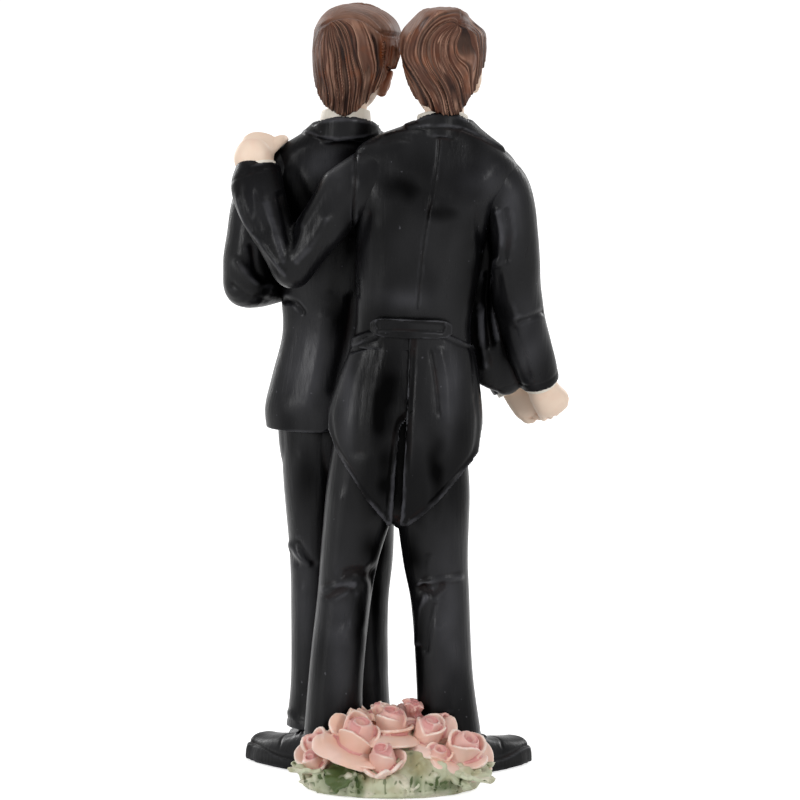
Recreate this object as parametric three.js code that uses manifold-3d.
// A wedding cake topper: two grooms, cast in resin and painted, on a plinth of resin roses.
// Millimetres, +Z up. The grooms face +Y, so +X is their right-hand side, and the backs are seen along +Y.
// The origin is on the underside of the plinth, between the feet of the groom in the tailcoat.
import * as THREE from 'three';
import { LoftGeometry } from 'three/addons/geometries/LoftGeometry.js';
import { mergeVertices } from 'three/addons/utils/BufferGeometryUtils.js';
import Module from 'manifold-3d';

const wasm = await Module();
wasm.setup();

// Driving dimensions

const glueGap = 0.3; // between any two pieces that are glued together
const cutterLength = 30; // how far a cutting shape runs past what it cuts

// The places in the figures' tables are parts of a canon that divides a figure's height by 132.
const canonParts = 132;
const figureHeight = 132;
const part = figureHeight / canonParts;

const body = {
  shoulderWidth: 28,
  chestDepth: 13.6,
  hipWidth: 25,
  hipDepth: 13.2,
  legWidth: 9.8,
  legDepth: 10.6,
  sleeveWidth: 8.4,
  cuffLength: 0.7,
  handWidth: 6.4,
  handThickness: 3.6,
  headWidth: 12.8,
  headDepth: 15.2,
  headHeight: 17.6,
  neckWidth: 6.8,
  hairThickness: 1.25,
};

const cloth = {
  shirtDepth: 0.9, // how far the shirt lies behind the coat's surface
  waistcoatDepth: 0.55,
  lapelThickness: 0.55,
  collarThickness: 0.6,
  tailThickness: 1.5,
  beltWidth: 13.3,
  beltHeight: 3.3,
  beltThickness: 0.9,
  buttonDiameter: 1.5,
  buttonThickness: 0.5,
  bowWidth: 6.4,
  bowHeight: 2.8,
  bowDepth: 1.7,
};

const shoe = {
  length: 23.4,
  width: 8,
  height: 6.8,
  heelLength: 4.5,
  ankleWidth: 6,
  ankleHeight: 12,
};

const plinth = {
  width: 33.2,
  rearLength: 21, // from the origin to the rear rim
  frontLength: 19.5,
  rimHeight: 3.2,
  moundHeight: 9.4,
};

const flower = {
  diameter: 9.6,
  height: 6.4,
  leafLength: 8.4,
  leafWidth: 5,
  leafThickness: 0.9,
};

// Where the grooms stand: the tailcoat groom behind, and the suit groom to his left and a step ahead.
const standing = {
  tailOffset: 1,
  suitOffset: 10.2,
  suitDepth: 10,
};
const tailStand = new THREE.Vector3(0, -standing.tailOffset, 0);
const suitStand = new THREE.Vector3(-standing.suitOffset, standing.suitDepth, 0);

const material = (color, roughness, metalness = 0) =>
  new THREE.MeshStandardMaterial({ color, roughness, metalness });
const blackEnamel = material('#1c1c1f', 0.32);
const blackBelt = material('#232327', 0.28);
const whiteEnamel = material('#efe9df', 0.45);
const greyEnamel = material('#b9b7b4', 0.45);
const skinPaint = material('#efd5bb', 0.55);
const hairPaint = material('#5e3829', 0.5);
const roseEnamel = material('#f0b6a8', 0.5);
const leafEnamel = material('#b3c2a0', 0.55);

// Solids

// A closed geometry as a solid that can be joined and cut.
function solid(geometry) {
  const bare = geometry.index ? geometry.toNonIndexed() : geometry.clone();
  bare.deleteAttribute('normal');
  bare.deleteAttribute('uv');
  const merged = mergeVertices(bare);
  const corners = [];
  for (let i = 0; i < merged.index.count; i += 3) {
    const [a, b, c] = [0, 1, 2].map((k) => merged.index.getX(i + k));
    if (a !== b && b !== c && c !== a) corners.push(a, b, c);
  }
  return new wasm.Manifold(
    new wasm.Mesh({
      numProp: 3,
      vertProperties: merged.attributes.position.array,
      triVerts: new Uint32Array(corners),
    }),
  );
}

function geometryOf(made) {
  const mesh = made.getMesh();
  const geometry = new THREE.BufferGeometry();
  geometry.setAttribute('position', new THREE.BufferAttribute(mesh.vertProperties, 3));
  geometry.setIndex(new THREE.BufferAttribute(mesh.triVerts, 1));
  geometry.computeVertexNormals();
  return geometry;
}

const join = (first, ...others) => others.reduce((whole, other) => whole.add(other), first);

// The largest of the bodies that a cut leaves.
const largest = (made) =>
  made.decompose().reduce((best, one) => (one.volume() > best.volume() ? one : best));

// Rows of numbers as one smooth line of numbers, read from 0 to 1.
function smoothRow(rows, t) {
  const place = t * (rows.length - 1);
  const i = Math.min(Math.floor(place), rows.length - 2);
  const f = place - i;
  const [a, b, c, d] = [i - 1, i, i + 1, i + 2].map(
    (k) => rows[Math.min(Math.max(k, 0), rows.length - 1)],
  );
  return b.map((_, k) => {
    const bend = 2 * a[k] - 5 * b[k] + 4 * c[k] - d[k];
    const twist = 3 * (b[k] - c[k]) + d[k] - a[k];
    return b[k] + 0.5 * f * (c[k] - a[k] + f * (bend + f * twist));
  });
}

// One ring of points: half width along its first axis, and its own depth ahead and behind.
function ring(sides, power, halfWidth, front, back) {
  const points = [];
  for (let i = 0; i < sides; i++) {
    const angle = (2 * Math.PI * i) / sides;
    const [c, s] = [Math.cos(angle), Math.sin(angle)];
    const depth = s > 0 ? front : back;
    points.push([
      halfWidth * Math.sign(c) * Math.abs(c) ** (2 / power),
      depth * Math.sign(s) * Math.abs(s) ** (2 / power),
    ]);
  }
  return points;
}

// A form of level rings, such as a torso. A row is [height, x, y, half width, front, back, slope, tilt],
// where slope and tilt are how far a ring climbs towards +X and +Y. All are real sizes by now.
function upright(rows, { sides = 20, steps = 12, power = 2.2, place = null } = {}, grow = 0) {
  const sections = [];
  for (let i = 0; i <= steps; i++) {
    const [height, x, y, halfWidth, front, back, slope = 0, tilt = 0] = smoothRow(rows, i / steps);
    const end = i === 0 ? -grow : i === steps ? grow : 0;
    sections.push(
      ring(sides, power, halfWidth + grow, front + grow, back + grow).map(
        ([a, b]) => new THREE.Vector3(x + a, y + b, height + end + slope * a + tilt * b),
      ),
    );
  }
  const geometry = new LoftGeometry(sections, { capStart: true, capEnd: true });
  if (place) geometry.applyMatrix4(place);
  return solid(geometry);
}

// A form of rings square to a path, such as a sleeve. A row is [x, y, z, half width, half depth].
// flat is a direction that the path never runs along: the rings' depth lies near it.
function limb(rows, options = {}, grow = 0) {
  const { sides = 12, steps = 7, power = 2, flat = [0, 1, 0], domes = [true, false] } = options;
  const across = new THREE.Vector3(...flat);
  const domeAngles = [62].map((degrees) => THREE.MathUtils.degToRad(degrees));
  const stations = [];
  for (let i = 0; i <= steps; i++) {
    const t = i / steps;
    const [x, y, z, halfWidth, halfDepth] = smoothRow(rows, t);
    const before = smoothRow(rows, Math.max(t - 0.02, 0));
    const after = smoothRow(rows, Math.min(t + 0.02, 1));
    const along = new THREE.Vector3(...after.slice(0, 3)).sub(new THREE.Vector3(...before.slice(0, 3)));
    stations.push({ centre: new THREE.Vector3(x, y, z), along: along.normalize(), halfWidth, halfDepth });
  }
  // A domed end is rings that shrink past the path's end, and a flat one only moves out by the growth.
  const ended = (station, side, domed) => {
    const shifted = (distance, share) => ({
      ...station,
      centre: station.centre.clone().addScaledVector(station.along, side * distance),
      halfWidth: station.halfWidth * share + grow * share,
      halfDepth: station.halfDepth * share + grow * share,
    });
    const reach = (station.halfWidth + station.halfDepth) / 2 + grow;
    return domed
      ? [...domeAngles.map((a) => shifted(reach * Math.sin(a), Math.cos(a))), shifted(0, 1)]
      : [shifted(grow, 1)];
  };
  const inner = stations.slice(1, -1).map((s) => ({
    ...s,
    halfWidth: s.halfWidth + grow,
    halfDepth: s.halfDepth + grow,
  }));
  const all = [
    ...ended(stations[0], -1, domes[0]),
    ...inner,
    ...ended(stations[steps], 1, domes[1]).reverse(),
  ];
  const sections = all.map(({ centre, along, halfWidth, halfDepth }) => {
    const side = new THREE.Vector3().crossVectors(across, along).normalize();
    const depth = new THREE.Vector3().crossVectors(along, side);
    return ring(sides, power, halfWidth, halfDepth, halfDepth).map(([a, b]) =>
      centre.clone().addScaledVector(side, a).addScaledVector(depth, b),
    );
  });
  return solid(new LoftGeometry(sections, { capStart: true, capEnd: true }));
}

// A prism that runs along Y from y = near to y = far. The outline is points [x, z].
function prism(outline, near, far) {
  const shape = new THREE.Shape(outline.map(([x, z]) => new THREE.Vector2(x, z)));
  const geometry = new THREE.ExtrudeGeometry(shape, { depth: far - near, bevelEnabled: false });
  geometry.rotateX(Math.PI / 2);
  geometry.translate(0, far, 0);
  return solid(geometry);
}

// An outline whose edges are moved inwards by a distance. Its points run either way round.
function drawnIn(outline, distance) {
  const points = outline.map(([x, z]) => new THREE.Vector2(x, z));
  const turn = Math.sign(THREE.ShapeUtils.area(points));
  const inward = (from, to) => {
    const along = to.clone().sub(from).normalize();
    return new THREE.Vector2(-along.y, along.x).multiplyScalar(turn);
  };
  return points.map((point, i) => {
    const first = inward(points[(i + points.length - 1) % points.length], point);
    const second = inward(point, points[(i + 1) % points.length]);
    const mitre = first.clone().add(second).multiplyScalar(distance / (1 + first.dot(second)));
    return [point.x + mitre.x, point.y + mitre.y];
  });
}

// Rows of a table of shares as rows of real sizes about a groom's stand.
const torsoRows = (shares, stand, halfWidth, halfDepth) =>
  shares.map(([z, x, y, w, front, back, slope]) => [
    z * part,
    stand.x + x * part,
    stand.y + y * part,
    w * halfWidth,
    front * halfDepth,
    back * halfDepth,
    slope,
  ]);
const limbRows = (shares, stand, halfWidth, halfDepth) =>
  shares.map(([x, y, z, w, d]) => [
    stand.x + x * part,
    stand.y + y * part,
    z * part,
    w * halfWidth,
    d * halfDepth,
  ]);
const inset = (rows, depth) =>
  rows.map(([z, x, y, w, front, back, slope]) => [z, x, y, w - depth, front - depth, back - depth, slope]);

// The assembly: each piece is cut to clear the room that the pieces before it take up.

const topper = new THREE.Group();
const placed = [];

const boxesMeet = (a, b) =>
  [0, 1, 2].every((k) => a.min[k] < b.max[k] && b.min[k] < a.max[k]);

function addPiece(name, look, build, reach = build) {
  let made = build(0);
  for (const other of placed) {
    if (boxesMeet(made.boundingBox(), other.room.boundingBox())) made = made.subtract(other.room);
  }
  made = largest(made);
  const mesh = new THREE.Mesh(geometryOf(made), look);
  mesh.name = name;
  topper.add(mesh);
  placed.push({ name, room: reach(glueGap) });
  return made;
}

// Shoes

// Rows along a shoe from heel to toe: place along the length, half width, height, and the sole's rise.
const shoeShares = [
  [0, 0.42, 0.5, 0],
  [0.06, 0.68, 0.8, 0],
  [0.22, 0.78, 0.96, 0],
  [0.42, 0.84, 1, 0],
  [0.62, 1, 0.9, 0],
  [0.8, 1, 0.82, 0.02],
  [0.93, 0.86, 0.78, 0.07],
  [1, 0.42, 0.74, 0.24],
];

function shoeForm(ankle, outward, lengthShare, grow) {
  const sides = 10;
  const steps = 7;
  const turn = THREE.MathUtils.degToRad(outward);
  const forward = new THREE.Vector3(Math.sin(turn), Math.cos(turn), 0);
  const sideways = new THREE.Vector3(Math.cos(turn), -Math.sin(turn), 0);
  const sections = [];
  for (let i = 0; i <= steps; i++) {
    const [along, width, height, rise] = smoothRow(shoeShares, i / steps);
    const end = i === 0 ? -grow : i === steps ? grow : 0;
    const reach = along * shoe.length * lengthShare - shoe.heelLength + end;
    const centre = ankle.clone().addScaledVector(forward, reach);
    const halfWidth = (width * shoe.width) / 2 + grow;
    const sole = Math.max(rise, 0) * shoe.height;
    // Below its middle a ring is flat, so the sole lies on the ground.
    sections.push(
      ring(sides, 2.5, halfWidth, height * shoe.height - sole + grow, grow).map(([a, b]) =>
        centre.clone().addScaledVector(sideways, -a).setZ(sole + b),
      ),
    );
  }
  const upper = solid(new LoftGeometry(sections, { capStart: true, capEnd: true }));
  const stub = upright(
    [0.1, 0.5, 1].map((share) => [
      shoe.ankleHeight * share,
      ankle.x,
      ankle.y,
      shoe.ankleWidth / 2,
      shoe.ankleWidth / 2,
      shoe.ankleWidth / 2,
    ]),
    { sides: 8, steps: 1, power: 2 },
    grow,
  );
  return upper.add(stub);
}

// Ankles as [x, y] parts from the stand, how far the toe turns to +X in degrees, and the share of the
// full length.
const shoePlaces = {
  tail_right_shoe: { stand: tailStand, ankleShares: [8.8, 0.4], outward: 36, lengthShare: 0.92 },
  tail_left_shoe: { stand: tailStand, ankleShares: [-12, 1.8], outward: -35, lengthShare: 1 },
  suit_left_shoe: { stand: suitStand, ankleShares: [-4.4, 1], outward: -4, lengthShare: 0.84 },
  suit_right_shoe: { stand: suitStand, ankleShares: [3.9, 0.5], outward: 5, lengthShare: 0.84 },
};
for (const [name, { stand, ankleShares, outward, lengthShare }] of Object.entries(shoePlaces)) {
  const ankle = new THREE.Vector3(ankleShares[0] * part, ankleShares[1] * part, 0).add(stand);
  addPiece(name, blackEnamel, (grow) => shoeForm(ankle, outward, lengthShare, grow));
}

// Trousers

// Legs as [x, y, height, half width, half depth] from the hip to the hem.
const tailLeftLegShares = [
  [-4.8, 0.2, 62, 1.2, 1.06],
  [-6.4, 0.2, 50, 1.24, 1.04],
  [-8.6, 0.4, 38.5, 1.02, 1],
  [-9.7, 0.4, 29.5, 0.93, 0.96],
  [-11, 0, 16.5, 0.93, 0.95],
  [-11.4, 0.4, 6.6, 1.04, 1.1],
];
const tailRightLegShares = [
  [4.6, 0.2, 62, 1.28, 1.06],
  [5.4, 0.2, 50, 1.3, 1.04],
  [6, 0.4, 38.5, 1.14, 1.02],
  [6.9, 0.4, 30, 1.02, 0.98],
  [7.7, 0, 16.5, 1, 0.97],
  [8.5, 0, 6.6, 1.12, 1.1],
];
const suitLeftLegShares = [
  [-4.8, 0, 62, 1.16, 1.2],
  [-4.4, 0, 50, 1.1, 1.12],
  [-4.1, 0.4, 37.3, 0.98, 1],
  [-4, 0.4, 28, 0.94, 0.96],
  [-4, 0, 15, 0.94, 0.95],
  [-4.2, 0, 6.6, 1.06, 1.08],
];
const suitRightLegShares = [
  [4.4, 0.2, 62, 1.12, 1.2],
  [4.1, 0.4, 50, 1.08, 1.12],
  [3.9, 0.8, 37.3, 0.96, 1],
  [3.7, 0.8, 28, 0.92, 0.96],
  [3.8, 0.5, 15, 0.92, 0.95],
  [3.9, 0.5, 6.6, 1.02, 1.06],
];
// The seat and the waist, which goes up inside the coat: [height, x, y, half width, front, back].
const tailSeatShares = [
  [46, 0.4, 0, 0.5, 0.62, 0.66, 0],
  [52, 0.4, 0, 0.84, 0.84, 0.9, 0],
  [60, 0.6, 0, 0.94, 0.92, 1, 0],
  [68, 1.3, 0, 0.86, 0.88, 0.92, 0],
  [75, 2, 0, 0.66, 0.74, 0.76, 0],
  [79, 2.2, 0, 0.56, 0.6, 0.6, 0],
];
const suitSeatShares = [
  [46, 0, 0, 0.5, 0.62, 0.66, 0],
  [52, 0, 0, 0.78, 0.84, 0.88, 0],
  [60, 0, 0, 0.86, 0.88, 0.94, 0],
  [68, 0.2, 0, 0.76, 0.78, 0.8, 0],
  [74, 0.3, 0, 0.6, 0.62, 0.62, 0],
];
const hipHalves = [body.hipWidth / 2, body.hipDepth / 2];
const legHalves = [body.legWidth / 2, body.legDepth / 2];

function trousersForm(seatShares, legTables, stand, grow) {
  const seat = upright(torsoRows(seatShares, stand, ...hipHalves), { sides: 10, steps: 5, power: 2.4 }, grow);
  const legs = legTables.map((shares) =>
    limb(limbRows(shares, stand, ...legHalves), { sides: 8, steps: 6, power: 2.5 }, grow),
  );
  return join(seat, ...legs);
}
addPiece('tail_trousers', blackEnamel, (grow) =>
  trousersForm(tailSeatShares, [tailLeftLegShares, tailRightLegShares], tailStand, grow),
);
addPiece('suit_trousers', blackEnamel, (grow) =>
  trousersForm(suitSeatShares, [suitLeftLegShares, suitRightLegShares], suitStand, grow),
);

// Heads and hair

// The skull from chin to crown: [height, half width, front, back, forward shift], shares of the head's
// height, half width and half depth.
const skullShares = [
  [-0.5, 0.26, 0.2, 0.22, 0.6],
  [-0.44, 0.5, 0.46, 0.38, 0.4],
  [-0.32, 0.7, 0.7, 0.56, 0.2],
  [-0.16, 0.84, 0.88, 0.74, 0.04],
  [0, 0.93, 0.92, 0.9, 0],
  [0.15, 0.98, 0.95, 0.98, 0],
  [0.3, 0.92, 0.9, 0.97, 0],
  [0.41, 0.72, 0.7, 0.78, 0],
  [0.48, 0.4, 0.4, 0.44, 0],
  [0.5, 0.12, 0.1, 0.12, 0],
];
// The hair: a cap that is open over the face. Its front edge stands up in a quiff.
const hairShares = [
  [-0.5, 0.26, 0, 0.5, -0.12],
  [-0.42, 0.5, 0.06, 0.68, -0.06],
  [-0.3, 0.73, 0.2, 0.86, 0],
  [-0.14, 0.87, 0.4, 0.98, 0],
  [0.02, 0.95, 0.6, 1.04, 0],
  [0.16, 1, 0.86, 1.07, 0],
  [0.3, 0.95, 0.97, 1.04, 0],
  [0.43, 0.74, 0.86, 0.86, 0],
  [0.51, 0.4, 0.5, 0.5, 0],
  [0.53, 0.1, 0.14, 0.14, 0],
];
const headRows = (shares, add) =>
  shares.map(([z, w, front, back, shift]) => [
    z * body.headHeight,
    0,
    (shift * body.headDepth) / 2,
    (w * body.headWidth) / 2 + add,
    (front * body.headDepth) / 2 + add,
    (back * body.headDepth) / 2 + add,
    0,
  ]);

// The nose from its root down to its tip: [height, half width, front], and it starts inside the face.
const noseShares = [
  [-0.17, 0.06, 0.9],
  [-0.14, 0.15, 1.06],
  [-0.1, 0.13, 1.13],
  [-0.02, 0.09, 1.04],
  [0.06, 0.07, 0.96],
];
const noseRootShare = 0.7;
const earShares = { side: 0.98, back: 0.02, drop: -0.04, thick: 0.16, deep: 0.2, tall: 0.125 };
const neckShares = [-15.1, -10.6, -3.5]; // parts below the middle of the head
const neckBackShare = 0.08; // share of the head's half depth that the neck stands behind the ears

function headForm(place, grow) {
  const skull = upright(headRows(skullShares, 0), { sides: 10, steps: 8, power: 2.1, place }, grow);
  const neckRadius = body.neckWidth / 2;
  const neck = upright(
    neckShares.map((z) => [
      z * part,
      0,
      (-neckBackShare * body.headDepth) / 2,
      neckRadius,
      neckRadius,
      neckRadius,
    ]),
    { sides: 10, steps: 2, power: 2, place },
    grow,
  );
  const noseRoot = (noseRootShare * body.headDepth) / 2;
  const nose = upright(
    noseShares.map(([z, w, front]) => [
      z * body.headHeight,
      0,
      noseRoot,
      (w * body.headWidth) / 2,
      (front * body.headDepth) / 2 - noseRoot,
      noseRoot / 2,
    ]),
    { sides: 8, steps: 4, power: 2, place },
    grow,
  );
  const ears = [-1, 1].map((side) => {
    const ear = new THREE.SphereGeometry(1, 7, 5);
    ear.scale(
      (earShares.thick * body.headWidth) / 2 + grow,
      (earShares.deep * body.headDepth) / 2 + grow,
      earShares.tall * body.headHeight + grow,
    );
    ear.translate(
      (side * earShares.side * body.headWidth) / 2,
      (-earShares.back * body.headDepth) / 2,
      earShares.drop * body.headHeight,
    );
    return solid(ear.applyMatrix4(place));
  });
  return join(skull, neck, nose, ...ears);
}

function hairForm(place, grow) {
  return upright(
    headRows(hairShares, body.hairThickness),
    { sides: 12, steps: 8, power: 2.1, place },
    grow,
  );
}

// Where each head is, in parts from its stand, and how it leans in degrees.
const headPlace = (stand, centreShares, roll, nod, turn) => {
  const radians = [nod, roll, turn].map((degrees) => THREE.MathUtils.degToRad(degrees));
  return new THREE.Matrix4()
    .makeRotationFromEuler(new THREE.Euler(...radians, 'ZYX'))
    .setPosition(
      stand.x + centreShares[0] * part,
      stand.y + centreShares[1] * part,
      centreShares[2] * part,
    );
};
const tailHead = headPlace(tailStand, [7.1, 1.6, 122.5], -2, -4, 6);
const suitHead = headPlace(suitStand, [2.5, -1, 121.9], 9, 2, -6);
addPiece('tail_head', skinPaint, (grow) => headForm(tailHead, grow));
addPiece('suit_head', skinPaint, (grow) => headForm(suitHead, grow));
addPiece('tail_hair', hairPaint, (grow) => hairForm(tailHead, grow));
addPiece('suit_hair', hairPaint, (grow) => hairForm(suitHead, grow));

// Coats

const torsoHalves = [body.shoulderWidth / 2, body.chestDepth / 2];
const tailTorsoShares = [
  [74.6, 2, 0, 0.72, 0.9, 0.93, 0],
  [79, 2.3, 0, 0.7, 0.88, 0.91, 0],
  [86, 3, 0, 0.75, 0.96, 0.98, 0],
  [93, 3.6, 0, 0.8, 1.02, 1.02, -0.01],
  [99, 4.3, 0, 0.87, 1.02, 1.04, -0.03],
  [103.6, 5.8, 0, 0.98, 0.96, 1, -0.08],
  [107, 6.2, 0, 0.96, 0.82, 0.88, -0.1],
  [109.6, 6.6, 0, 0.74, 0.66, 0.76, -0.1],
  [111.6, 7, 0, 0.48, 0.54, 0.66, -0.06],
  [112.8, 7.2, 0.2, 0.34, 0.46, 0.58, 0],
];
const suitTorsoShares = [
  [58.8, 0.2, 0, 0.93, 1.09, 1.1, 0],
  [62.6, 0.2, 0, 0.94, 1.07, 1.1, 0],
  [68, 0.3, 0, 0.85, 1, 1.03, 0],
  [75, 0.4, 0, 0.735, 0.91, 0.92, 0],
  [82, 0.4, 0, 0.755, 0.95, 0.95, 0],
  [90, 0.3, 0, 0.81, 1.01, 1, 0],
  [97, 0.1, 0, 0.88, 1.02, 1.03, 0],
  [102, 0, 0, 0.96, 0.97, 0.99, 0],
  [105.2, 0.1, 0, 0.92, 0.84, 0.88, 0],
  [107.8, 0.3, -0.6, 0.72, 0.74, 0.8, 0],
  [110, 0.5, -1, 0.46, 0.6, 0.7, 0],
  [111.2, 0.7, -1.2, 0.36, 0.5, 0.58, 0],
];
const tailTorso = torsoRows(tailTorsoShares, tailStand, ...torsoHalves);
const suitTorso = torsoRows(suitTorsoShares, suitStand, ...torsoHalves);
const torsoOptions = { sides: 14, steps: 9, power: 2.3 };

const above = (made, height) =>
  made.intersect(
    prism(
      [
        [-cutterLength * 2, height],
        [cutterLength * 2, height],
        [cutterLength * 2, height + cutterLength * 4],
        [-cutterLength * 2, height + cutterLength * 4],
      ],
      -cutterLength * 2,
      cutterLength * 2,
    ),
  );

// The shirt is the front of the chest, a little smaller than the coat, with a collar round the neck.
const collarRadius = body.neckWidth / 2 + cloth.collarThickness + glueGap;
function shirtForm(torso, stand, collarShares, footShare, grow) {
  const chest = upright(inset(torso, cloth.shirtDepth), torsoOptions, grow);
  const front = prism(
    [
      [stand.x - cutterLength, footShare * part - grow],
      [stand.x + cutterLength, footShare * part - grow],
      [stand.x + cutterLength, cutterLength * 5],
      [stand.x - cutterLength, cutterLength * 5],
    ],
    stand.y + cloth.shirtDepth - grow,
    stand.y + cutterLength,
  );
  const collar = upright(
    collarShares.map(([z, x, y, spread, slope, tilt]) => [
      z * part,
      stand.x + x * part,
      stand.y + y * part,
      collarRadius * spread,
      collarRadius * spread,
      collarRadius * spread,
      slope,
      tilt,
    ]),
    { sides: 12, steps: 2, power: 2 },
    grow,
  );
  return join(chest.intersect(front), collar);
}
// Collars as [height, x, y, spread, slope, tilt]: they are higher at the back.
const tailCollarShares = [
  [107.6, 7, 0.6, 1.14, 0, -0.3],
  [110.6, 7.1, 0.7, 1.04, 0, -0.34],
  [113.6, 7.2, 0.9, 1, 0, -0.34],
];
const suitCollarShares = [
  [107.4, 0.6, -1.4, 1.02, 0, -0.3],
  [110, 0.8, -1.5, 1, 0, -0.34],
  [112.6, 1.2, -1.6, 0.98, 0, -0.34],
];
const shirtFootShares = { tail: 88, suit: 86 };
addPiece('tail_shirt', whiteEnamel, (grow) =>
  shirtForm(tailTorso, tailStand, tailCollarShares, shirtFootShares.tail, grow),
);
addPiece('suit_shirt', whiteEnamel, (grow) =>
  shirtForm(suitTorso, suitStand, suitCollarShares, shirtFootShares.suit, grow),
);

// The waistcoat shows between the tailcoat's fronts, and its points hang below them.
const waistcoatShares = [
  [-8.4, 72.6],
  [-3, 70.6],
  [0, 72.2],
  [3, 70.6],
  [8.4, 72.6],
  [8.4, 95],
  [0, 87],
  [-8.4, 95],
];
const waistcoatMiddleShare = 2.9; // where its middle line is, in parts from the stand
addPiece('tail_waistcoat', greyEnamel, (grow) => {
  const rows = inset(tailTorso, cloth.waistcoatDepth);
  const first = [...rows[0]];
  first[0] = waistcoatShares[1][1] * part;
  const chest = upright([first, ...rows], torsoOptions, grow);
  const outline = waistcoatShares.map(([x, z]) => [
    tailStand.x + (waistcoatMiddleShare + x) * part,
    z * part,
  ]);
  const near = tailStand.y + cloth.waistcoatDepth - grow;
  return chest.intersect(prism(drawnIn(outline, -grow), near, tailStand.y + cutterLength));
});

// A coat is the torso with an opening at the front, a lapel at each side of it and a collar.
// Outlines are [x, height] in parts from the stand.
function coatForm(torso, stand, look, grow) {
  const toReal = ([x, z]) => [stand.x + x * part, z * part];
  const shell = upright(torso, torsoOptions, grow);
  const proud = upright(torso, torsoOptions, cloth.lapelThickness + grow);
  const near = stand.y + cloth.shirtDepth;
  const far = stand.y + cutterLength;
  const opening = prism(drawnIn(look.openingShares.map(toReal), grow), near, far);
  const lapels = look.lapelShares.map((shares) =>
    proud.intersect(prism(drawnIn(shares.map(toReal), -grow), near, far)),
  );
  const radius = collarRadius + cloth.collarThickness + glueGap;
  const collar = upright(
    look.collarShares.map(([z, x, y, spread, slope, tilt]) => [
      z * part,
      stand.x + x * part,
      stand.y + y * part,
      radius * spread,
      radius * spread,
      radius * spread,
      slope,
      tilt,
    ]),
    { sides: 12, steps: 2, power: 2 },
    grow,
  ).intersect(
    prism(
      [
        [stand.x - cutterLength, 0],
        [stand.x + cutterLength, 0],
        [stand.x + cutterLength, cutterLength * 5],
        [stand.x - cutterLength, cutterLength * 5],
      ],
      stand.y - cutterLength,
      stand.y + look.collarFrontShare * part,
    ),
  );
  return join(shell.subtract(opening), ...lapels, collar);
}

const tailLook = {
  openingShares: [
    [-0.6, 74],
    [6.6, 74],
    [6, 88],
    [10.6, 104],
    [10, 116],
    [4, 116],
    [2.6, 104],
    [0.4, 88],
  ],
  lapelShares: [
    [
      [5.6, 86],
      [9.8, 99],
      [13.2, 99.6],
      [12.4, 103],
      [14.2, 104],
      [11.4, 110.6],
      [9.8, 110],
      [10.4, 104],
      [6.2, 88],
    ],
    [
      [0.8, 86],
      [-1.6, 99],
      [-3.4, 100.6],
      [-1.8, 103.6],
      [-2.8, 105.4],
      [2.4, 111],
      [4.2, 110.4],
      [2.6, 104],
      [0.6, 88],
    ],
  ],
  collarShares: [
    [108.2, 6.9, 0.4, 1.2, -0.04, -0.4],
    [110.8, 7.1, 0.6, 1.08, -0.02, -0.42],
    [112.6, 7.2, 0.8, 1, 0, -0.42],
  ],
  collarFrontShare: 3,
};
const suitLook = {
  openingShares: [
    [0.2, 84.6],
    [4, 96],
    [5.2, 108],
    [4.4, 115],
    [-2.6, 115],
    [-3.6, 108],
    [-3, 96],
  ],
  lapelShares: [
    [
      [0.2, 83.4],
      [1.2, 84.4],
      [4.4, 97],
      [7.4, 97.6],
      [6.6, 101],
      [8.4, 101.8],
      [6.4, 108.8],
      [5, 108.6],
      [4, 97],
    ],
    [
      [0.4, 83.4],
      [-0.6, 84.4],
      [-3.4, 97],
      [-7, 97.6],
      [-6, 101],
      [-7.8, 101.8],
      [-4.8, 108.8],
      [-3.4, 108.6],
      [-3, 97],
    ],
  ],
  collarShares: [
    [106.6, 0.6, -1.5, 1.12, 0, -0.4],
    [109, 0.9, -1.5, 1.05, 0, -0.42],
    [110.8, 1.1, -1.6, 1, 0, -0.42],
  ],
  collarFrontShare: 0.4,
};
addPiece('tail_coat', blackEnamel, (grow) => coatForm(tailTorso, tailStand, tailLook, grow));
addPiece('suit_jacket', blackEnamel, (grow) => coatForm(suitTorso, suitStand, suitLook, grow));

// The two tails hang from the waist over the seat of the trousers, and meet at the back seam.

const tailSkirtShares = [
  [40, 0, 0, 0.9, 0.5, 1.12, 0],
  [48, 0.3, 0, 0.98, 0.6, 1.2, 0],
  [56, 0.5, 0, 1.03, 0.7, 1.25, 0],
  [62, 0.6, 0, 1.06, 0.8, 1.24, 0],
  [68, 1.2, 0, 0.97, 0.88, 1.14, 0],
  [74.6, 2, 0, 0.82, 0.9, 0.98, 0],
];
const tailSkirt = torsoRows(tailSkirtShares, tailStand, ...hipHalves);
// Outlines [x, height] from the waist seam down the side edge to the tip and back up the middle seam.
const leftTailShares = [
  [1.7, 74.3],
  [-9.6, 74.3],
  [-10.8, 70],
  [-12.6, 65],
  [-13.2, 62],
  [-11.4, 57.6],
  [-8.2, 52],
  [-4.2, 45.8],
  [-1.6, 42.6],
  [-0.4, 42.8],
  [0.1, 52],
  [0.8, 60],
];
const rightTailShares = [
  [1.9, 74.3],
  [1.1, 60],
  [0.5, 52],
  [0.1, 42.8],
  [1, 42.6],
  [4, 45.4],
  [8.4, 50],
  [12, 54.4],
  [13.6, 58.6],
  [14.2, 62],
  [13.6, 66],
  [13.6, 74.3],
];
const skirtOptions = { sides: 16, steps: 5 };
const tailEdgeShare = 2; // how far ahead of the groom's middle the tails' side edges may reach
function tailForm(outlineShares, grow) {
  const outer = upright(tailSkirt, skirtOptions, grow);
  const inner = upright(inset(tailSkirt, cloth.tailThickness), skirtOptions, -grow);
  const outline = outlineShares.map(([x, z]) => [tailStand.x + x * part, z * part]);
  const reach = prism(outline, tailStand.y - cutterLength, tailStand.y + tailEdgeShare * part);
  return outer.subtract(inner).intersect(reach);
}
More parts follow.
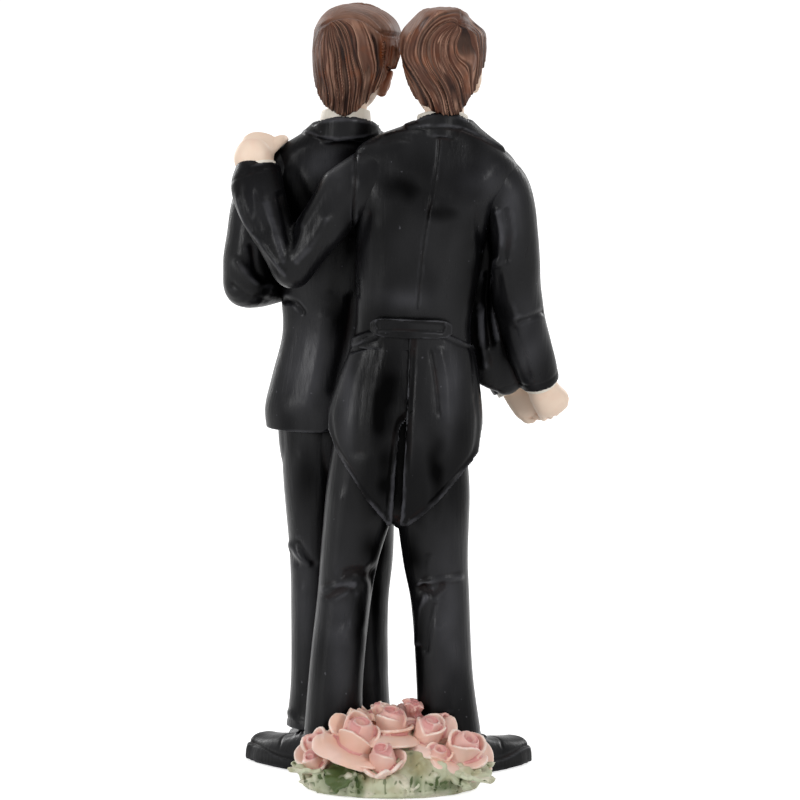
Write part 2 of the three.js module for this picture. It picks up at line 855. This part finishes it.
addPiece('tail_left_tail', blackEnamel, (grow) => tailForm(leftTailShares, grow));
addPiece('tail_right_tail', blackEnamel, (grow) => tailForm(rightTailShares, grow));

// The half belt lies across the small of the back.
const beltShares = { middle: 1.9, aboveWaist: 3.8, slope: -0.03 };
addPiece('tail_half_belt', blackBelt, (grow) => {
  const proud = upright(tailTorso, torsoOptions, glueGap + cloth.beltThickness + grow);
  const middle = tailStand.x + beltShares.middle * part;
  const [half, rise] = [cloth.beltWidth / 2 + grow, cloth.beltHeight / 2 + grow];
  const height = (tailTorsoShares[0][0] + beltShares.aboveWaist) * part;
  return proud.intersect(
    prism(
      [
        [middle - half, height - rise - beltShares.slope * half],
        [middle + half, height - rise + beltShares.slope * half],
        [middle + half, height + rise + beltShares.slope * half],
        [middle - half, height + rise - beltShares.slope * half],
      ],
      tailStand.y - cutterLength,
      tailStand.y,
    ),
  );
});

// Bow ties and buttons, which stand on the shirt fronts and the coat.

function bowForm(centre, grow) {
  const wing = (side) => {
    const rows = [0.1, 0.55, 1].map((share, i) => {
      const spread = [0.34, 0.8, 1][i];
      return [
        centre.x + (side * share * cloth.bowWidth) / 2,
        centre.y,
        centre.z,
        (spread * cloth.bowHeight) / 2,
        (Math.min(spread, 0.8) * cloth.bowDepth) / 2,
      ];
    });
    return limb(rows, { sides: 8, steps: 3, power: 2.6, domes: [false, false] }, grow);
  };
  const knot = new THREE.SphereGeometry(1, 7, 5);
  knot.scale(
    cloth.bowHeight * 0.36 + grow,
    cloth.bowDepth * 0.62 + grow,
    cloth.bowHeight * 0.42 + grow,
  );
  knot.translate(centre.x, centre.y, centre.z);
  return join(wing(-1), wing(1), solid(knot));
}
const bowPlaces = {
  tail_bow_tie: { stand: tailStand, collarShares: tailCollarShares, placeShares: [7.1, 110.6] },
  suit_bow_tie: { stand: suitStand, collarShares: suitCollarShares, placeShares: [0.8, 109.6] },
};
for (const [name, { stand, collarShares, placeShares }] of Object.entries(bowPlaces)) {
  // A bow stands against the front of its collar.
  const [, , collarY, spread] = collarShares[1];
  const y = collarY * part + collarRadius * spread + cloth.bowDepth / 2 + 2 * glueGap;
  const centre = new THREE.Vector3(placeShares[0] * part, y, placeShares[1] * part).add(stand);
  addPiece(name, blackEnamel, (grow) => bowForm(centre, grow));
}

// How far ahead of its stand a torso's surface is at a height, beside its middle line.
function frontAt(torso, height, x) {
  let best = torso[0];
  for (let t = 0; t <= 1; t += 0.005) {
    const row = smoothRow(torso, t);
    if (Math.abs(row[0] - height) < Math.abs(best[0] - height)) best = row;
  }
  const [, middle, y, halfWidth, front] = best;
  const share = Math.min(Math.abs((x - middle) / halfWidth), 1);
  return y + front * (1 - share ** torsoOptions.power) ** (1 / torsoOptions.power);
}
function buttonForm(x, y, z, grow) {
  const radius = cloth.buttonDiameter / 2 + grow;
  const depth = cloth.buttonThickness + 2 * glueGap + grow;
  const disc = new THREE.CylinderGeometry(radius, radius, depth, 10);
  disc.translate(x, y + depth / 2 - glueGap, z);
  return solid(disc);
}
const buttonPlaces = {
  suit_button_upper: { stand: suitStand, torso: suitTorso, inset: 0, placeShares: [0.3, 81.6] },
  suit_button_lower: { stand: suitStand, torso: suitTorso, inset: 0, placeShares: [0.3, 75.4] },
  tail_button_upper: {
    stand: tailStand,
    torso: tailTorso,
    inset: cloth.waistcoatDepth,
    placeShares: [3.1, 84.4],
  },
  tail_button_lower: {
    stand: tailStand,
    torso: tailTorso,
    inset: cloth.waistcoatDepth,
    placeShares: [2.8, 79],
  },
};
for (const [name, { stand, torso, inset: sunk, placeShares }] of Object.entries(buttonPlaces)) {
  const x = stand.x + placeShares[0] * part;
  const z = placeShares[1] * part;
  const y = frontAt(torso, z, x) - sunk;
  addPiece(name, blackBelt, (grow) => buttonForm(x, y, z, grow));
}

// Arms. Rows are [x, y, height, half width, half depth] from the shoulder to the cuff, and a bent arm has
// two runs that share an elbow. A hand starts inside its cuff.

const arms = {
  tail_right: {
    stand: tailStand,
    sleeveShares: [
      [
        [14, 0, 104, 1.08, 1.12],
        [17.4, 0, 101.6, 1.12, 1.14],
        [19.2, 0.4, 93, 1.02, 1.04],
        [19.9, 1.6, 83, 0.98, 1],
        [21.9, 4.4, 74, 0.92, 0.96],
        [23.8, 7.4, 67.4, 0.84, 0.88],
      ],
    ],
    flat: [0, 1, 0],
    handShares: [
      [22.9, 5.6, 71, 0.66, 0.9],
      [24.6, 8.2, 65.6, 0.86, 1],
      [26.4, 9.6, 62.6, 1, 1],
      [26.2, 11.6, 60.6, 0.72, 0.8],
    ],
    thumbShares: [
      [24.9, 9.2, 65, 0.42, 0.6],
      [23.8, 11.4, 63, 0.34, 0.5],
      [23.4, 12.8, 61.8, 0.26, 0.36],
    ],
  },
  suit_right: {
    stand: suitStand,
    sleeveShares: [
      [
        [11.6, 0.6, 102.6, 1.06, 1.1],
        [15, 1.4, 97.6, 1.04, 1.06],
        [18.6, 3.4, 88.4, 0.98, 1],
        [22, 4.2, 80, 0.96, 0.98],
        [26, 3.8, 72.2, 0.98, 0.96],
        [29.8, 2.8, 65.6, 0.94, 0.9],
      ],
    ],
    flat: [0, 1, 0],
    handShares: [
      [28, 3.2, 68.6, 0.64, 0.9],
      [30.6, 2.6, 64.4, 0.84, 1],
      [32.6, 2.1, 61.8, 0.96, 0.94],
      [34.6, 1.2, 60.2, 0.66, 0.66],
    ],
    thumbShares: [
      [30.4, 3.6, 64.8, 0.42, 0.6],
      [33, 4.4, 63.8, 0.34, 0.5],
      [34.8, 4, 63.4, 0.26, 0.36],
    ],
  },
  suit_left: {
    stand: suitStand,
    sleeveShares: [
      [
        [-10.6, -0.4, 103, 1.06, 1.1],
        [-13.6, -0.8, 98.6, 1.06, 1.06],
        [-15.4, -1.8, 90.6, 1, 1],
        [-15.8, -2.2, 84.2, 1, 1],
      ],
      [
        [-15.8, -2.2, 84, 1, 1],
        [-12.6, 3, 83.4, 0.94, 0.94],
        [-7.6, 7, 84, 0.84, 0.84],
      ],
    ],
    flat: [-0.7, 0.7, 0],
    handShares: [
      [-9.4, 5.6, 83.8, 0.66, 0.9],
      [-5.8, 7.8, 84.3, 0.84, 1],
      [-2.2, 8.6, 85, 0.98, 0.94],
      [1.6, 8.2, 85.8, 0.66, 0.7],
    ],
    thumbShares: [
      [-5.4, 8.4, 85.4, 0.42, 0.5],
      [-3.6, 9, 87.6, 0.34, 0.44],
      [-2.2, 8.8, 89, 0.26, 0.36],
    ],
  },
  tail_left: {
    stand: tailStand,
    sleeveShares: [
      [
        [-3.6, -0.6, 104.4, 1.14, 1.1],
        [-8.4, -1.4, 101, 1.16, 1.06],
        [-13.6, -2, 94.6, 0.98, 0.98],
        [-18.1, -1.8, 88.4, 0.88, 0.94],
      ],
      [
        [-18.3, -1.8, 88.4, 0.88, 0.94],
        [-21.2, -0.2, 94, 0.86, 0.92],
        [-22.9, 2, 99.4, 0.88, 0.88],
        [-24, 4.2, 104, 0.88, 0.84],
      ],
    ],
    flat: [0, 1, 0],
    handShares: [
      [-23.4, 3, 101.4, 0.66, 0.9],
      [-24.1, 5.4, 106, 0.84, 1],
      [-23.9, 9, 108.2, 0.98, 0.94],
      [-23.6, 13.4, 107.8, 0.9, 0.86],
      [-23.4, 16.6, 105, 0.6, 0.7],
    ],
    thumbShares: [
      [-22.6, 6.2, 107, 0.42, 0.5],
      [-20.6, 8.6, 108.6, 0.34, 0.44],
      [-19.6, 10.4, 108.8, 0.26, 0.36],
    ],
    handFlat: [1, 0, 0],
  },
};
const sleeveHalf = body.sleeveWidth / 2;
const handHalves = [body.handWidth / 2, body.handThickness / 2];

function handForm(arm, grow) {
  const flat = arm.handFlat ? [0, 0.7, -0.7] : arm.flat;
  const palm = limb(
    limbRows(arm.handShares, arm.stand, ...handHalves),
    { sides: 7, steps: 4, power: 2.3, flat, domes: [false, true] },
    grow,
  );
  const thumb = limb(
    limbRows(arm.thumbShares, arm.stand, ...handHalves),
    { sides: 5, steps: 2, flat, domes: [false, true] },
    grow,
  );
  return palm.add(thumb);
}
function sleeveForm(arm, grow) {
  const runs = arm.sleeveShares.map((shares, i, all) =>
    limb(
      limbRows(shares, arm.stand, sleeveHalf, sleeveHalf),
      {
        sides: 8,
        steps: all.length > 1 ? 3 : 5,
        flat: arm.flat,
        domes: [true, i < all.length - 1],
      },
      grow,
    ),
  );
  return join(...runs);
}
// The shirt's cuff is a short sleeve inside the coat's, and shows past its end.
function cuffForm(arm, grow) {
  const rows = limbRows(arm.sleeveShares.at(-1), arm.stand, sleeveHalf, sleeveHalf);
  const end = new THREE.Vector3(...rows.at(-1).slice(0, 3));
  const before = new THREE.Vector3(...rows.at(-2).slice(0, 3));
  const along = end.clone().sub(before).normalize();
  const wall = cloth.collarThickness;
  const stations = [-3 * body.cuffLength, body.cuffLength].map((distance) => {
    const centre = end.clone().addScaledVector(along, distance);
    return [centre.x, centre.y, centre.z, rows.at(-1)[3] - wall, rows.at(-1)[4] - wall];
  });
  return limb(stations, { sides: 8, steps: 1, flat: arm.flat, domes: [false, false] }, grow);
}
for (const [name, arm] of Object.entries(arms)) {
  addPiece(`${name}_hand`, skinPaint, (grow) => handForm(arm, grow));
}
for (const [name, arm] of Object.entries(arms)) {
  addPiece(`${name}_cuff`, whiteEnamel, (grow) => cuffForm(arm, grow));
  addPiece(`${name}_sleeve`, blackEnamel, (grow) => sleeveForm(arm, grow));
}

// The plinth: a dish of leaves that rises to a mound behind the grooms, with a tongue between their feet.

// [height, half width, front, back] as shares of the mound's height, the plinth's half width and the reach.
const moundShares = [
  [0, 0.94, 0.3, 0.58],
  [0.28, 1, 0.32, 0.62],
  [0.4, 0.94, 0.32, 0.56],
  [0.66, 0.7, 0.3, 0.36],
  [0.88, 0.46, 0.26, 0.22],
  [1, 0.2, 0.14, 0.12],
];
const moundCentreShares = [-0.045, -0.38]; // of the plinth's width and of its rear reach
const tongueShares = [
  [0, 0.42, 1, 0.1],
  [0.7, 0.4, 0.97, 0.1],
  [1, 0.3, 0.85, 0.1],
];
function plinthForm(grow) {
  const moundX = moundCentreShares[0] * plinth.width;
  const moundY = moundCentreShares[1] * plinth.rearLength;
  const mound = upright(
    moundShares.map(([z, w, front, back]) => [
      z * plinth.moundHeight,
      moundX,
      moundY,
      (w * plinth.width) / 2,
      front * plinth.rearLength,
      back * plinth.rearLength,
      0,
    ]),
    { sides: 16, steps: 5, power: 2.1 },
    grow,
  );
  const tongue = upright(
    tongueShares.map(([z, w, front, back]) => [
      z * plinth.rimHeight,
      -moundX * 1.4,
      moundY / 2,
      (w * plinth.width) / 2,
      front * plinth.frontLength - moundY / 2,
      back * plinth.frontLength,
      0,
    ]),
    { sides: 14, steps: 2, power: 2.2 },
    grow,
  );
  return above(mound.add(tongue), 0);
}
addPiece('plinth', leafEnamel, plinthForm);

// Roses

// A rose is a cup of petals whose top winds down in a spiral. The table of its outside runs from the foot
// to the rim: [height, radius].
const roseSideShares = [
  [0, 0.34],
  [0.22, 0.72],
  [0.5, 0.98],
  [0.74, 0.94],
];
const roseTurns = 2.5;
const roseTopShares = [0.78, 0.6, 0.42, 0.26, 0.12];
const petalStepShare = 0.15; // share of the height that the spiral drops in one turn
const roseDipShare = 0.1; // share of the height that the petals round the heart lie below the rim

function roseForm(centre, size, lean, turned, grow) {
  const sides = 9;
  const radius = (flower.diameter / 2) * size;
  const height = flower.height * size;
  const sections = [];
  const around = (radiusShare, heightAt) =>
    sections.push(
      Array.from({ length: sides }, (_, i) => {
        const angle = (2 * Math.PI * i) / sides;
        const lobe = 1 + 0.07 * Math.cos(5 * angle + turned);
        const reach = radius * radiusShare * lobe + grow;
        return new THREE.Vector3(
          reach * Math.cos(angle),
          reach * Math.sin(angle),
          heightAt(angle),
        );
      }),
    );
  roseSideShares.forEach(([z, r], i) => around(r, () => z * height - height / 2 - (i === 0 ? grow : 0)));
  for (const r of roseTopShares) {
    around(r, (angle) => {
      const phase = r * roseTurns - angle / (2 * Math.PI) + turned;
      // The last ring is level and stands above the others, as the rose's heart.
      const heart = r === roseTopShares.at(-1);
      const drop = heart ? 0 : (phase - Math.floor(phase)) * petalStepShare + roseDipShare * (1 - r);
      return height / 2 - height * drop + grow;
    });
  }
  const geometry = new LoftGeometry(sections, { capStart: true, capEnd: true });
  geometry.rotateX(THREE.MathUtils.degToRad(lean[0]));
  geometry.rotateY(THREE.MathUtils.degToRad(lean[1]));
  geometry.translate(centre.x, centre.y, centre.z);
  return solid(geometry);
}

// A place as shares of the plinth's half width, its rear or front length and the mound's height.
const onPlinth = ([x, y, z]) =>
  new THREE.Vector3(
    (x * plinth.width) / 2,
    y * (y < 0 ? plinth.rearLength : plinth.frontLength),
    z * plinth.moundHeight,
  );

// Each rose's centre, its size, and its lean in degrees about X and Y.
const rosePlaces = [
  { centreShares: [-0.446, -0.6, 0.872], sizeShare: 1.1, lean: [38, -12] },
  { centreShares: [-0.096, -0.41, 1.17], sizeShare: 0.86, lean: [26, 0] },
  { centreShares: [0.313, -0.448, 1.043], sizeShare: 0.86, lean: [28, 14] },
  { centreShares: [0.627, -0.524, 0.638], sizeShare: 1.08, lean: [34, 22] },
  { centreShares: [-0.169, -0.781, 0.574], sizeShare: 0.86, lean: [58, 0] },
  { centreShares: [-0.807, -0.457, 0.638], sizeShare: 0.76, lean: [30, -34] },
  { centreShares: [-0.867, -0.629, 0.415], sizeShare: 0.56, lean: [50, -40] },
  { centreShares: [0.253, -0.714, 0.532], sizeShare: 0.9, lean: [52, 12] },
  { centreShares: [0.1, -0.162, 1.085], sizeShare: 0.62, lean: [6, 10] },
  { centreShares: [-0.253, -0.219, 1.17], sizeShare: 0.5, lean: [8, -14] },
  { centreShares: [0.133, 0.226, 0.596], sizeShare: 0.8, lean: [-14, 6] },
  { centreShares: [0.036, 0.544, 0.511], sizeShare: 0.8, lean: [-32, -6] },
  { centreShares: [0.325, 0.749, 0.447], sizeShare: 0.7, lean: [-46, 10] },
];
rosePlaces.forEach(({ centreShares, sizeShare, lean }, i) => {
  const centre = onPlinth(centreShares);
  addPiece(`rose_${i + 1}`, roseEnamel, (grow) => roseForm(centre, sizeShare, lean, i * 0.37, grow));
});

// Leaves

// From the stalk to the point: [place along, half width, rise].
const leafShares = [
  [0, 0.24, 0],
  [0.2, 0.8, 0.03],
  [0.45, 1, 0.05],
  [0.75, 0.66, 0.1],
  [1, 0.1, 0.2],
];
function leafForm(stalk, heading, climb, grow) {
  const [turn, pitch] = [heading, climb].map((degrees) => THREE.MathUtils.degToRad(degrees));
  const sections = leafShares.map(([along, width, rise]) => {
    const half = (width * flower.leafWidth) / 2 + grow;
    const thick = flower.leafThickness / 2 + grow;
    const fold = half * 0.25;
    const lift = rise * flower.leafLength;
    const reach = along * flower.leafLength;
    return [
      [half, fold + thick],
      [0, thick],
      [-half, fold + thick],
      [-half, fold - thick],
      [0, -thick],
      [half, fold - thick],
    ].map(([a, b]) => new THREE.Vector3(reach, a, b + lift));
  });
  const geometry = new LoftGeometry(sections, { capStart: true, capEnd: true });
  geometry.rotateY(-pitch);
  geometry.rotateZ(turn);
  geometry.translate(stalk.x, stalk.y, stalk.z);
  return solid(geometry);
}
// Each leaf's stalk, the way it points from +X in degrees, and its climb in degrees.
const leafPlaces = [
  { stalkShares: [-0.699, -0.619, 0.362], heading: 200, climb: 14 },
  { stalkShares: [-0.494, -0.762, 0.277], heading: 236, climb: -8 },
  { stalkShares: [-0.036, -0.743, 0.319], heading: 288, climb: -10 },
  { stalkShares: [0.518, -0.695, 0.298], heading: 320, climb: -2 },
  { stalkShares: [0.578, -0.476, 0.383], heading: 344, climb: 16 },
  { stalkShares: [0.217, 0.749, 0.277], heading: 80, climb: 4 },
];
leafPlaces.forEach(({ stalkShares, heading, climb }, i) => {
  const stalk = onPlinth(stalkShares);
  addPiece(`leaf_${i + 1}`, leafEnamel, (grow) => leafForm(stalk, heading, climb, grow));
});

export default topper;
